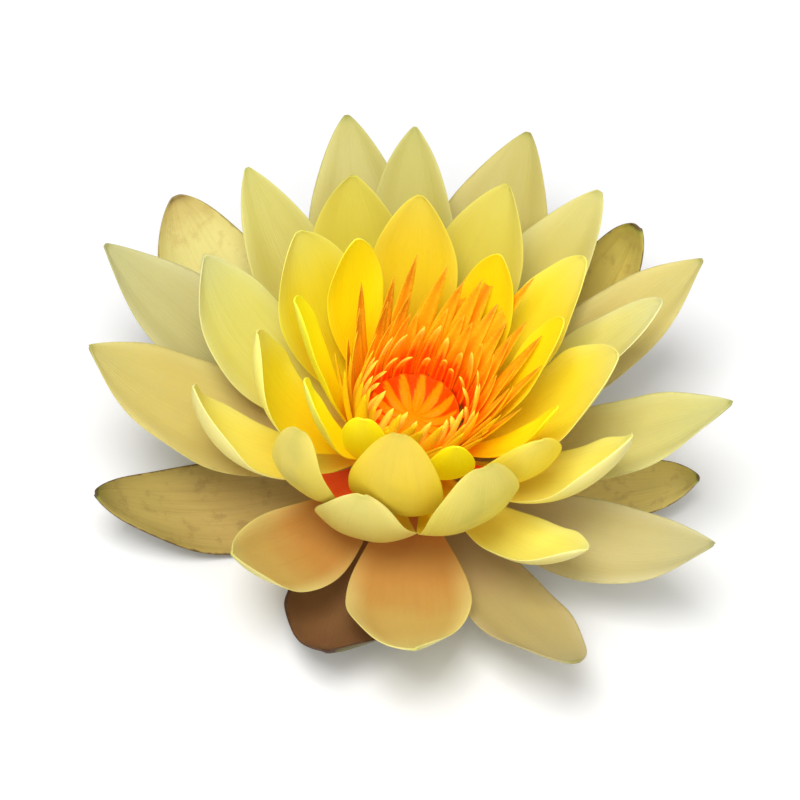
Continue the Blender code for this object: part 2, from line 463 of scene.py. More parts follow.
THIRD_FINISH = PetalFinish(
    inner=ramp((0.0, 250, 180, 30), (0.15, 240, 212, 70), (0.5, 232, 220, 92), (1.0, 236, 230, 126)),
    outer=ramp((0.0, 230, 200, 70), (0.45, 216, 202, 104), (1.0, 210, 198, 112)),
    edge=paint(242, 232, 140),
    olive_and_shade_share=0.4,
    tip_share=0.2,
)
FOURTH_FINISH = PetalFinish(
    inner=ramp((0.0, 248, 170, 10), (0.15, 240, 204, 16), (0.5, 236, 214, 36), (1.0, 236, 224, 100)),
    outer=ramp((0.0, 250, 222, 50), (0.4, 240, 224, 96), (1.0, 226, 212, 108)),
    edge=paint(250, 236, 110),
    olive_and_shade_share=0.6,
    tip_share=0.2,
    painted_glow=0.02,
)
INNER_FINISH = PetalFinish(
    inner=ramp((0.0, 255, 150, 0), (0.15, 250, 206, 4), (0.5, 246, 224, 6), (1.0, 248, 232, 20)),
    outer=ramp((0.0, 252, 214, 10), (0.45, 240, 218, 62), (1.0, 226, 206, 84)),
    edge=paint(252, 232, 50),
    olive_and_shade_share=0.35,
    tip_share=0.15,
    painted_glow=0.06,
)
SMALL_FINISH = replace(
    INNER_FINISH,
    outer=ramp((0.0, 255, 220, 0), (0.4, 255, 240, 0), (1.0, 250, 236, 16)),
    edge=paint(252, 235, 30),
    olive_and_shade_share=0.1,
    painted_glow=0.14,
)
FLAME_FINISH = replace(
    FOURTH_FINISH,
    inner=ramp((0.0, 180, 50, 20), (0.2, 214, 70, 26), (0.4, 240, 170, 50), (1.0, 232, 216, 110)),
)
HOT_FINISH = replace(
    INNER_FINISH,
    inner=ramp((0.0, *RED), (0.3, 255, 110, 0), (0.6, 252, 190, 4), (1.0, 252, 224, 20)),
)


@dataclass(frozen=True)
class StamenFinish:
    """How a ring of stamens is coloured from foot to tip on either face."""

    inner: Ramp
    outer: Ramp
    pollen: Colour = paint(252, 196, 40)
    pollen_share: float = 0.4
    glow: float = 0.3
    # painted_glow: emission in the stamens' own colour, a painted glow that lifts the shaded crown; no
    # lamp.
    painted_glow: float = 0.05

    def dye(self, name: str) -> bpy.types.Material:
        """Make the material of that name."""
        bench = DyeBench(name)
        along, across = bench.uv()
        inside = bench.attribute("inner")
        # tone: each stamen's random tone plus painted light that makes those at -X and -Y more golden.
        tone = bench.attribute("tone")
        place = bench.place()
        cloud = bench.noise(place, 300.0, 2.0)
        drift = along + (tone - 0.5) * 0.2 + (cloud - 0.5) * 0.15
        front = bench.node("ShaderNodeValToRGB", {"stops": self.inner}, {0: drift})
        back = bench.node("ShaderNodeValToRGB", {"stops": self.outer}, {0: drift})
        colour = bench.mix(inside, back, front)
        grains = bench.noise(place, 1500.0, 2.0, 0.6)
        sacs = abs(across * 2.0 - 1.0).step(0.15, 0.5) * along.step(0.45, 0.6) * grains.step(0.35, 0.6)
        colour = bench.mix(sacs * self.pollen_share, colour, self.pollen)
        relief = grains * 0.5 + bench.noise(bench.vector(along * 4.0, across * 12.0, 0.0), 1.0) * 0.5
        bench.set(
            Base_Color=colour,
            Roughness=cloud * 0.2 + 0.38,
            Normal=bench.bump(relief, 0.0002),
            Subsurface_Weight=self.glow,
            Subsurface_Radius=(1.0, 0.5, 0.1),
            Subsurface_Scale=0.001,
            # Painted glow: the colour is given off as light at painted_glow strength.
            Emission_Color=colour,
            Emission_Strength=self.painted_glow,
            Specular_IOR_Level=0.25,
        )
        return bench.material


@dataclass(frozen=True)
class PistilFinish:
    """How the rayed disc, its wall and the stem below it are coloured."""

    ray: Colour = paint(240, 142, 4)
    wedge: Colour = paint(255, 70, 0)
    wall: Colour = paint(240, 120, 10)
    stem: Colour = paint(130, 120, 55)
    # painted_glow: emission in the disc's own colour, a painted glow that lifts the shaded middle; no
    # lamp.
    painted_glow: float = 0.1

    def dye(self, name: str) -> bpy.types.Material:
        """Make the material of that name."""
        bench = DyeBench(name)
        ray = bench.attribute("ray")
        low = bench.attribute("low")
        place = bench.place()
        cloud = bench.noise(place, 350.0, 3.0)
        grain = bench.noise(place, 1800.0, 2.0)
        top = bench.mix(ray + (cloud - 0.5) * 0.25, self.wedge, self.ray)
        side = bench.mix(low, self.wall, self.stem)
        colour = bench.mix(bench.attribute("wall"), top, side)
        bench.set(
            Base_Color=colour,
            Roughness=grain * 0.25 + 0.35,
            Normal=bench.bump(grain * 0.6 + cloud * 0.4, 0.0002),
            Subsurface_Weight=0.3,
            Subsurface_Radius=(1.0, 0.4, 0.1),
            Subsurface_Scale=0.001,
            # Painted glow: the colour is given off as light at painted_glow strength.
            Emission_Color=colour,
            Emission_Strength=self.painted_glow,
            Specular_IOR_Level=0.05,
        )
        return bench.material


@dataclass(frozen=True)
class FloorFinish:
    """A pale matt floor with a very faint unevenness."""

    light: Colour = (0.78, 0.78, 0.785)
    dark: Colour = (0.765, 0.765, 0.775)

    def dye(self, name: str) -> bpy.types.Material:
        """Make the material of that name."""
        bench = DyeBench(name)
        cloud = bench.noise(bench.place(), 3.0, 2.0)
        bench.set(Base_Color=bench.mix(cloud, self.light, self.dark), Roughness=0.85)
        return bench.material


# ---------------------------------------------------------------------- petals


@dataclass(frozen=True)
class KindSizes:
    """Sizes that the petals of one kind share: mm, shares and degrees."""

    base_radius: float
    base_height: float
    thickness: float
    base_share: float
    widest: float
    point: float
    base_fold: float
    fold: float
    ripple: float
    pleat: float
    finish: PetalFinish


class Kind(Enum):
    """The seven kinds of sepal and petal, from outside in; each value starts the names of their nodes."""

    SEPAL = "sepal"
    OUTER = "outer_petal"
    SECOND = "second_petal"
    THIRD = "third_petal"
    FOURTH = "fourth_petal"
    INNER = "inner_petal"
    SMALL = "small_petal"

    @property
    def sizes(self) -> KindSizes:
        """The sizes that the kind's petals share."""
        return KIND_SIZES[self]


KIND_SIZES = {
    Kind.SEPAL: KindSizes(8.5, 5.0, 0.7, 0.30, 0.50, 0.72, 40, 24, 0.7, 0.35, SEPAL_FINISH),
    Kind.OUTER: KindSizes(10.0, 7.5, 0.6, 0.24, 0.54, 0.80, 45, 24, 0.6, 0.30, OUTER_FINISH),
    Kind.SECOND: KindSizes(11.0, 9.5, 0.6, 0.24, 0.54, 0.80, 45, 26, 0.5, 0.25, SECOND_FINISH),
    Kind.THIRD: KindSizes(12.0, 11.5, 0.55, 0.24, 0.56, 0.75, 45, 30, 0.4, 0.2, THIRD_FINISH),
    Kind.FOURTH: KindSizes(13.0, 13.5, 0.5, 0.24, 0.58, 0.70, 45, 32, 0.3, 0.15, FOURTH_FINISH),
    Kind.INNER: KindSizes(13.7, 15.5, 0.5, 0.28, 0.60, 0.62, 40, 32, 0.2, 0.1, INNER_FINISH),
    Kind.SMALL: KindSizes(14.0, 17.5, 0.5, 0.35, 0.60, 0.60, 35, 30, 0.15, 0.1, SMALL_FINISH),
}
BOAT_FOLD = 46
# Powers of a petal's swell up to its widest place and of its narrowing beyond it.
SWELL_POWER = 1.3
NARROW_POWER = 1.75
# Near its base a petal folds more, over this share of its length, eased by a power.
FOLD_LENGTH = 0.35
FOLD_POWER = 1.5
# The outline waves in and out by a small share of the half width, and the edge ripples:
# both in radians over the petal's length.
OUTLINE_WAVE = 19.0
OUTLINE_DEPTH = 0.012
RIPPLE_WAVE = 15.0
# The pleats run along the petal, in radians from its middle line to its edge.
PLEAT_WAVE = 7.5
# The grid's rows crowd towards the tip by this power.
TIP_CROWDING = 1.25
# An edge's thickness falls short of the middle's by this share.
EDGE_THINNING = 0.55


@dataclass
class Petal:
    """One sepal or petal: it starts at base_rise and bends evenly up to tip_rise.

    heading, the rises, roll and fold are in degrees; length, width and lift in mm.
    fold and point replace the kind's own, and end is where the blade's grid stops.
    """

    kind: Kind
    number: int
    heading: float
    length: float
    width: float
    base_rise: float
    tip_rise: float
    roll: float
    lift: float
    fold: Optional[float] = None
    point: Optional[float] = None
    finish: Optional[PetalFinish] = None
    # Multiplies the petal's colour: partly its own colour, partly painted light and shade for where it
    # sits lit or shaded.
    tint_and_light: Colour = (1.0, 1.0, 1.0)
    rows: int = 40
    columns: int = 16
    end: float = 0.996

    @property
    def node(self) -> str:
        """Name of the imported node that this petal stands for."""
        return f"{self.kind.value}_{self.number}"

    @property
    def seed(self) -> float:
        """A number of its own for the petal's patterns and waves."""
        return self.heading * 0.37 + self.length * 1.3

    def half_width(self, along: np.ndarray) -> np.ndarray:
        """Half width of the blade.

        Args:
            along: shares of the length.

        Returns:
            Half widths in mm.
        """
        sizes = self.kind.sizes
        lower = np.sin(np.clip(along / sizes.widest, 0, 1) * pi / 2) ** SWELL_POWER
        beyond = np.clip((along - sizes.widest) / (1 - sizes.widest), 0, 1)
        upper = (1 - beyond**NARROW_POWER) ** (self.point or sizes.point)
        share = np.where(along < sizes.widest, sizes.base_share + (1 - sizes.base_share) * lower, upper)
        return share * self.width / 2

    def surface(self, along: np.ndarray, across: np.ndarray, axis: Vector) -> np.ndarray:
        """Points of the blade's middle surface.

        Args:
            along: shares of the length, from the base.
            across: from -1 at one edge to 1 at the other.
            axis: where the flower's axis frame stands.

        Returns:
            One point a row, in metres.
        """
        sizes = self.kind.sizes
        first, last = radians(self.base_rise), radians(self.tip_rise)
        rise = first + (last - first) * along
        bend = self.length / (last - first)
        nought = np.zeros_like(along)
        outwards = bend * (np.sin(rise) - sin(first))
        climb = bend * (cos(first) - np.cos(rise))
        point = np.stack((outwards, nought, climb), 1)
        upright = np.stack((-np.sin(rise), nought, np.cos(rise)), 1)
        level = np.array((0.0, 1.0, 0.0))
        roll = radians(self.roll)
        side = level * cos(roll) + upright * sin(roll)
        normal = upright * cos(roll) - level * sin(roll)
        fold = radians(self.fold or sizes.fold)
        more = np.maximum(1 - along / FOLD_LENGTH, 0) ** FOLD_POWER
        angle = fold + (radians(sizes.base_fold) - fold) * more
        free = smooth_step(along, 0.3, 0.7)
        wobble = 1 + OUTLINE_DEPTH * np.sin(along * OUTLINE_WAVE + self.seed) * free
        radius = self.half_width(along) * wobble / angle
        sideways = radius * np.sin(across * angle)
        upwards = radius * (1 - np.cos(across * angle))
        waves = np.sin(along * RIPPLE_WAVE + self.seed * 2 + across * 1.3) * np.abs(across) ** 3
        pleats = np.cos(across * PLEAT_WAVE + 0.6 * np.sin(self.seed)) * (1 - along**3)
        upwards = upwards + free * (sizes.ripple * waves + sizes.pleat * pleats)
        local = point + side * sideways[:, None] + normal * upwards[:, None]
        turn = np.array(Matrix.Rotation(radians(self.heading), 3, "Z"))
        foot = np.array((sizes.base_radius, 0.0, sizes.base_height + self.lift))
        return (local + foot) @ turn.T * MM + np.array(axis)

    def model(self, axis: Vector) -> bpy.types.Object:
        """Model the blade as a closed, thin-edged wall.

        Args:
            axis: where the flower's axis frame stands.

        Returns:
            The finished object.
        """
        bpy.ops.object.select_all(action="DESELECT")
        bpy.ops.mesh.primitive_grid_add(x_subdivisions=self.rows, y_subdivisions=self.columns, size=2.0)
        blade = bpy.context.active_object
        blade.name = f"{self.node}_blade"
        blade.data.name = blade.name
        flat = read_points(blade.data)
        run = (flat[:, 0] + 1) / 2
        along = self.end * (1 - (1 - run) ** TIP_CROWDING)
        write_points(blade.data, self.surface(along, flat[:, 1], axis))
        count = len(flat)
        body = blade.vertex_groups.new(name="body")
        for place in range(count):
            body.add([place], 1 - EDGE_THINNING * abs(flat[place, 1]) ** 3, "REPLACE")
        normals = np.empty(count * 3, np.float32)
        blade.data.vertices.foreach_get("normal", normals)
        bpy.ops.object.modifier_add(type="SOLIDIFY")
        wall = blade.modifiers[-1]
        wall.thickness = self.kind.sizes.thickness * MM
        wall.offset = 0.0
        wall.vertex_group = body.name
        bpy.ops.object.modifier_apply(modifier=wall.name)
        points = read_points(blade.data)
        outwards = np.einsum("ij,ij->i", points[:count] - points[count:], normals.reshape(-1, 3))
        first_is_inner = outwards.mean() > 0
        faces_in = np.repeat([first_is_inner, not first_is_inner], count)
        store(blade.data, "inner", faces_in)
        blade.vertex_groups.clear()
        bpy.ops.object.modifier_add(type="SUBSURF")
        finer = blade.modifiers[-1]
        finer.levels = finer.render_levels = 1
        bpy.ops.object.modifier_apply(modifier=finer.name)
        bpy.ops.object.shade_smooth()
        return blade

    def build(self, axis: Vector) -> None:
        """Model the petal, dress it and hand it to the frame."""
        blade = self.model(axis)
        finish = self.finish or self.kind.sizes.finish
        blade.data.materials.append(finish.dye(blade.name, self.seed, self.tint_and_light))
        hand_over(blade, self.node)


def read_points(mesh: bpy.types.Mesh) -> np.ndarray:
    """Read a mesh's vertices, one point a row."""
    points = np.empty(len(mesh.vertices) * 3, np.float32)
    mesh.vertices.foreach_get("co", points)
    return points.reshape(-1, 3).astype(float)


def write_points(mesh: bpy.types.Mesh, points: np.ndarray) -> None:
    """Move a mesh's vertices to the given points."""
    mesh.vertices.foreach_set("co", np.ascontiguousarray(points, np.float32).ravel())
    mesh.update()


def store(mesh: bpy.types.Mesh, name: str, values: np.ndarray) -> None:
    """Store one number a vertex on a mesh under a name."""
    layer = mesh.attributes.new(name, "FLOAT", "POINT")
    layer.data.foreach_set("value", np.ascontiguousarray(values, np.float32))


def hand_over(piece: bpy.types.Object, node: str) -> None:
    """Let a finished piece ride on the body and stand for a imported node.

    Args:
        piece: the finished piece.
        node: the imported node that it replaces.
    """
    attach(piece, BODY)
    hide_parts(node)
    LOG.info("%s: %d faces", piece.name, len(piece.data.polygons))


@dataclass
class Perianth:
    """All sepals and petals, in the order of their nodes."""

    # Each tint_and_light is partly the petal's own colour and partly painted light and shade, lightening
    # or darkening petals by where they sit.
    petals: list[Petal] = field(
        default_factory=lambda: [
            Petal(Kind.SEPAL, 1, 201, 69, 24, -28, 48, -12, -0.3),
            Petal(Kind.SEPAL, 2, 258, 59, 32, -30, 50, 12, -0.5, finish=DARK_SEPAL_FINISH),
            Petal(Kind.SEPAL, 3, 0, 60, 26, -28, 38, -4, -0.9, tint_and_light=(2.0, 2.1, 2.3)),
            Petal(Kind.SEPAL, 4, 50, 79, 29, -26, 70, -12, -1.7, point=0.6, tint_and_light=(1.55, 1.6, 1.2)),
            Petal(
                Kind.SEPAL, 5, 140, 83, 33, -24, 70, -14, -1.8,
                point=0.6, finish=PALE_SEPAL_FINISH, tint_and_light=(0.92, 0.93, 0.85),
            ),
            Petal(Kind.OUTER, 1, 106, 77, 27, 4, 40, -14, -0.3, tint_and_light=(0.82, 0.85, 0.72)),
            Petal(Kind.OUTER, 2, 75, 76, 30, 8, 40, -10, -1.1, tint_and_light=(0.82, 0.82, 0.65)),
            Petal(Kind.OUTER, 3, 32, 71, 26, 8, 46, -8, 0.3),
            Petal(Kind.OUTER, 4, 354, 69, 23, 10, 52, 4, 1.7, tint_and_light=(1.0, 1.1, 1.25)),
            Petal(Kind.OUTER, 5, 331, 73, 20, -10, 52, 24, -0.5, tint_and_light=(0.9, 0.95, 1.4)),
            Petal(Kind.OUTER, 6, 301, 70, 22, -14, 44, -10, -1.5, point=0.6, tint_and_light=(0.78, 0.75, 0.95)),
            Petal(Kind.OUTER, 7, 185, 72, 27, 2, 56, -12, -0.2),
            Petal(Kind.OUTER, 8, 159, 75, 25, 8, 42, -6, -1.8, tint_and_light=(0.83, 0.9, 1.15)),
            Petal(Kind.SECOND, 1, 95, 67, 23, 12, 50, -14, 0.3, tint_and_light=(0.7, 0.73, 0.7)),
            Petal(Kind.SECOND, 2, 57, 65, 26, 16, 36, -14, 0.0, tint_and_light=(0.85, 0.87, 0.95)),
            Petal(Kind.SECOND, 3, 129, 66, 21, 11, 46, -10, -0.8, tint_and_light=(0.78, 0.82, 0.8)),
            Petal(Kind.SECOND, 4, 274, 64, 28, -17, 54, 4, -1.1, finish=TAN_FINISH),
            Petal(Kind.SECOND, 5, 237, 63, 22, -14, 66, -20, -0.6, fold=34, finish=TAN_FINISH),
            Petal(Kind.THIRD, 1, 112, 54, 26, 17, 72, -24, 0.1, tint_and_light=(0.73, 0.69, 0.4)),
            Petal(Kind.THIRD, 2, 70, 53, 24, 37, 60, -10, 0.4, tint_and_light=(0.73, 0.7, 0.5)),
            Petal(Kind.THIRD, 3, 15, 58, 22, 28, 60, -14, -0.3, tint_and_light=(0.86, 0.88, 1.5)),
            Petal(Kind.THIRD, 4, 164, 59, 23, 14, 80, -18, -1.1, tint_and_light=(0.84, 0.9, 1.55)),
            Petal(Kind.THIRD, 5, 202, 59, 22, -6, 92, 4, -1.3, fold=BOAT_FOLD, tint_and_light=(1.1, 1.12, 1.35)),
            Petal(Kind.THIRD, 6, 311, 57, 19, -8, 66, -4, -1.5, fold=BOAT_FOLD, tint_and_light=(1.14, 1.16, 1.5)),
            Petal(Kind.THIRD, 7, 330, 62, 23, 6, 84, -2, 0.2, fold=BOAT_FOLD, tint_and_light=(1.14, 1.16, 1.4)),
            Petal(Kind.THIRD, 8, 256, 45, 24, -14, 108, 4, -1.6, fold=36, point=0.65),
            Petal(Kind.FOURTH, 1, 95, 46, 21, 48, 77, -12, 1.8, tint_and_light=(0.84, 0.78, 0.5)),
            Petal(Kind.FOURTH, 2, 29, 51, 21, 46, 73, -4, -0.3),
            Petal(Kind.FOURTH, 3, 352, 51, 25, 34, 74, 10, 0.3, tint_and_light=(1.02, 1.06, 1.6)),
            Petal(Kind.FOURTH, 4, 145, 48, 24, 45, 80, -12, -0.2, tint_and_light=(0.88, 0.92, 1.0)),
            Petal(Kind.FOURTH, 5, 198, 52, 21, 26, 98, -20, 0.0, fold=BOAT_FOLD, tint_and_light=(1.05, 1.08, 1.2)),
            Petal(
                Kind.FOURTH, 6, 233, 51, 17, -4, 112, 4, 1.2,
                point=0.5, finish=FLAME_FINISH, tint_and_light=(0.82, 0.8, 0.7),
            ),
            Petal(Kind.FOURTH, 7, 294, 51, 24, -8, 114, 8, 1.4, point=0.45, tint_and_light=(0.78, 0.78, 0.75)),
            Petal(Kind.INNER, 1, 51, 41, 15, 60, 89, 8, 0.3, tint_and_light=(0.95, 0.88, 0.7)),
            Petal(Kind.INNER, 2, 135, 44, 15, 56, 102, -10, 1.8),
            Petal(Kind.INNER, 3, 2, 42, 15, 56, 78, 4, 1.7),
            Petal(Kind.INNER, 4, 182, 42, 18, 62, 80, 8, 0.9, tint_and_light=(1.03, 1.22, 0.7)),
            Petal(Kind.INNER, 5, 218, 38, 14, 46, 84, -20, 0.6, tint_and_light=(1.1, 1.4, 1.8)),
            Petal(Kind.INNER, 6, 266, 50, 22, 4, 124, -4, 0.0, point=0.55, tint_and_light=(0.8, 0.74, 0.55)),
            Petal(Kind.INNER, 7, 318, 41, 20, 10, 96, -24, 0.5, fold=44, finish=HOT_FINISH),
            Petal(Kind.SMALL, 1, 246, 31, 11, 46, 90, 18, 0.3, point=0.45),
            Petal(Kind.SMALL, 2, 291, 29, 11, 32, 92, -16, 0.4),
            Petal(Kind.SMALL, 3, 330, 37, 10, 32, 78, 6, 1.6),
        ]
    )

    def build(self, axis: Vector) -> None:
        """Build every sepal and petal around the axis."""
        for petal in self.petals:
            petal.build(axis)


# --------------------------------------------------------------------- stamens


# The stamens are longest and steepest at this heading.
BACK_HEADING = 105
# The crown leans to +X, and less so on that side, where the inner petals stand close.
LEAN_LENGTH = 24.0
LEAN_POWER = 1.5
RIGHT_EASE = 0.6
# Painted light: how much more golden the stamens at -X and at -Y, the sides towards the lamps and the
# camera, are made.
LEFT_PAINTED_LIGHT = 1.0
FRONT_PAINTED_LIGHT = 1.2
# A finger's end is rounded over this last share of its length.
FINGER_END = 0.2
# Powers of a pointed stamen's taper: how late it starts and how sharply it ends.
TAPER_START = 2.4
TAPER_END = 0.85
# How far stamens stray: share of their spacing, degrees at foot and tip, mm and twist.
STRAY_HEADING = 0.22
STRAY_FOOT = 4
STRAY_TIP = 9
STRAY_SIDE = 0.8
STRAY_TWIST = 0.25


class StamenStyle(Enum):
    """The two shapes of stamen: flat and pointed outside, round-tipped inside."""

    PETAL_LIKE = "petal_like"
    FINGER = "finger"


@dataclass
class StamenRing:
    """One ring of stamens; sizes in mm, angles in degrees.

    front is the length at the front against that at the back, spread is how much
    further out the front ones point, and lean is how far the crown leans to +X.
    """

    number: int
    style: StamenStyle
    count: int
    radius: float
    height: float
    length: float
    base_rise: float
    tip_rise: float
    root: float
    tip: float
    first: float
    finish: StamenFinish
    front: float = 0.74
    spread: float = 15.0
    thickness: float = 0.7
    lean: float = 5.5
    steps: int = 10
    corners: int = 10

    def tube(self) -> bpy.types.Object:
        """Model one straight closed tube of unit size, to be shaped and copied."""
        bpy.ops.object.select_all(action="DESELECT")
        bpy.ops.mesh.primitive_circle_add(vertices=self.corners, radius=1.0, fill_type="NGON")
        tube = bpy.context.active_object
        bpy.ops.object.mode_set(mode="EDIT")
        bpy.ops.mesh.select_all(action="SELECT")
        for _ in range(self.steps):
            bpy.ops.mesh.extrude_region_move(TRANSFORM_OT_translate={"value": (0, 0, 1 / self.steps)})
        bpy.ops.mesh.select_all(action="SELECT")
        bpy.ops.mesh.normals_make_consistent(inside=False)
        bpy.ops.object.mode_set(mode="OBJECT")
        return tube

    def shape(self, tube: np.ndarray, place: int, draw: np.random.Generator, axis: Vector) -> np.ndarray:
        """Bend the tube into one stamen of the ring.

        Args:
            tube: points of the unit tube.
            place: which stamen of the ring this is.
            draw: the ring's own random draws.
            axis: where the flower's axis frame stands.

        Returns:
            The stamen's points in metres.
        """
        stray = draw.uniform(-STRAY_HEADING, STRAY_HEADING)
        heading = radians(self.first + 360 / self.count * (place + stray))
        back = 0.5 + 0.5 * cos(heading - radians(BACK_HEADING))
        length = self.length * draw.uniform(0.86, 1.12) * (self.front + (1 - self.front) * back)
        along = np.clip(tube[:, 2], 0.0, 1.0)
        first = radians(self.base_rise - self.spread * (1 - back) + draw.uniform(-STRAY_FOOT, STRAY_FOOT))
        last = radians(self.tip_rise + draw.uniform(-STRAY_TIP, STRAY_TIP))
        rise = first + (last - first) * along
        bend = length / (last - first)
        outwards = bend * (np.sin(rise) - sin(first))
        upwards = bend * (cos(first) - np.cos(rise))
        if self.style is StamenStyle.PETAL_LIKE:
            taper = (1 - along**TAPER_START) ** TAPER_END
            width = self.tip + (self.root - self.tip) * taper
            thick = self.thickness * (1 - 0.85 * along**2)
        else:
            width = self.root + (self.tip - self.root) * along**0.7
            past = np.maximum((along - (1 - FINGER_END)) / FINGER_END, 0)
            rounded = np.sqrt(np.clip(1 - past**2, 0.02, 1))
            width = width * rounded
            thick = self.thickness * (1.1 - 0.2 * along) * rounded
        side_shift = tube[:, 0] * width / 2
        depth = tube[:, 1] * thick / 2
        cup = 0.5 * side_shift**2 / np.maximum(width, 0.3)
        inwards = depth + cup
        radial = self.radius + outwards - np.sin(rise) * inwards
        vertical = self.height + upwards + np.cos(rise) * inwards
        twist = draw.uniform(-STRAY_TWIST, STRAY_TWIST)
        side = side_shift + draw.uniform(-STRAY_SIDE, STRAY_SIDE) * along**2 + twist * inwards
        eased = 1 - RIGHT_EASE * max(cos(heading), 0.0)
        lean = self.lean * length / LEAN_LENGTH * along**LEAN_POWER * eased
        x = radial * cos(heading) - side * sin(heading) + lean
        y = radial * sin(heading) + side * cos(heading)
        return np.stack((x, y, vertical), 1) * MM + np.array(axis)

    def build(self, axis: Vector) -> None:
        """Model the ring, dress it and hand it to the frame."""
        draw = np.random.default_rng(40 + self.number)
        tube = self.tube()
        unit = read_points(tube.data)
        made = []
        for place in range(self.count):
            stamen = tube.copy()
            stamen.data = tube.data.copy()
            bpy.context.collection.objects.link(stamen)
            write_points(stamen.data, self.shape(unit, place, draw, axis))
            heading = radians(self.first + 360 / self.count * place)
            # The random tone plus painted light: stamens at -X and at -Y are made more golden.
            tone = draw.uniform() + LEFT_PAINTED_LIGHT * max(-cos(heading), 0.0)
            tone = tone + FRONT_PAINTED_LIGHT * max(-sin(heading), 0.0)
            self.map_stamen(stamen.data, unit, tone)
            made.append(stamen)
        bpy.data.objects.remove(tube)
        bpy.ops.object.select_all(action="DESELECT")
        for stamen in made:
            stamen.select_set(True)
        bpy.context.view_layer.objects.active = made[0]
        bpy.ops.object.join()
        ring = bpy.context.active_object
        ring.name = f"stamens_{self.number}_ring"
        ring.data.name = ring.name
        bpy.ops.object.shade_smooth()
        ring.data.materials.append(self.finish.dye(ring.name))
        hand_over(ring, f"stamens_{self.number}")

    def map_stamen(self, mesh: bpy.types.Mesh, unit: np.ndarray, tone: float) -> None:
        """Store how far along, across and inwards each point of a stamen lies.

        Args:
            mesh: the stamen's mesh.
            unit: points of the unit tube.
            tone: the stamen's own random tone plus painted light on the stamens at -X and -Y; higher is
                more golden.
        """
        store(mesh, "inner", unit[:, 1] * 0.5 + 0.5)
        store(mesh, "tone", np.full(len(unit), tone))
        layer = mesh.uv_layers.new(name="UVMap") if not mesh.uv_layers else mesh.uv_layers[0]
        corners = np.empty(len(mesh.loops), np.int32)
        mesh.loops.foreach_get("vertex_index", corners)
        flat = np.stack((unit[corners, 2], unit[corners, 0] * 0.5 + 0.5), 1)
        layer.data.foreach_set("uv", flat.astype(np.float32).ravel())


BACK_FINISH = StamenFinish(
    inner=ramp(
        (0.0, *RED), (0.2, 255, 110, 0), (0.45, 252, 160, 8),
        (0.7, 244, 162, 14), (1.0, 206, 130, 16),
    ),
    outer=ramp((0.0, 252, 190, 0), (0.4, 255, 214, 0), (1.0, 255, 214, 20)),
)
MIDDLE_FINISH = StamenFinish(
    inner=ramp(
        (0.0, *RED), (0.3, 255, 66, 0), (0.5, 255, 130, 4),
        (0.75, 248, 160, 14), (1.0, 224, 144, 20),
    ),
    outer=ramp((0.0, 255, 180, 0), (0.4, 255, 208, 0), (1.0, 255, 218, 30)),
    painted_glow=0.1,
)
FINGER_FINISH = StamenFinish(
    inner=ramp((0.0, *RED), (0.5, 255, 66, 0), (0.75, 255, 160, 14), (1.0, 255, 212, 84)),
    outer=ramp((0.0, 255, 180, 0), (0.4, 255, 208, 0), (1.0, 255, 222, 70)),
    painted_glow=0.12,
)


@dataclass
class StamenCrown:
    """The rings of stamens, from the outermost inwards."""

    rings: list[StamenRing] = field(
        default_factory=lambda: [
            StamenRing(1, StamenStyle.PETAL_LIKE, 20, 12.9, 17.9, 33.0, 74, 70, 5.4, 0.2, 8, BACK_FINISH),
            StamenRing(2, StamenStyle.PETAL_LIKE, 21, 12.4, 18.9, 28.0, 73, 78, 5.0, 0.2, 18, BACK_FINISH),
            StamenRing(
                3, StamenStyle.PETAL_LIKE, 21, 11.9, 20.0, 21.0, 74, 86, 4.2, 0.2, 4, MIDDLE_FINISH,
                front=0.85,
            ),
            StamenRing(
                4, StamenStyle.FINGER, 20, 11.4, 20.5, 15.0, 74, 98, 2.6, 1.5, 14, FINGER_FINISH,
                front=1.1, spread=8.0,
            ),
            StamenRing(
                5, StamenStyle.FINGER, 17, 10.9, 21.0, 10.0, 76, 124, 2.0, 1.5, 5, FINGER_FINISH,
                front=1.0,
            ),
        ]
    )

    def build(self, axis: Vector) -> None:
        """Build every ring around the axis."""
        for ring in self.rings:
            ring.build(axis)


# ---------------------------------------------------------------------- pistil


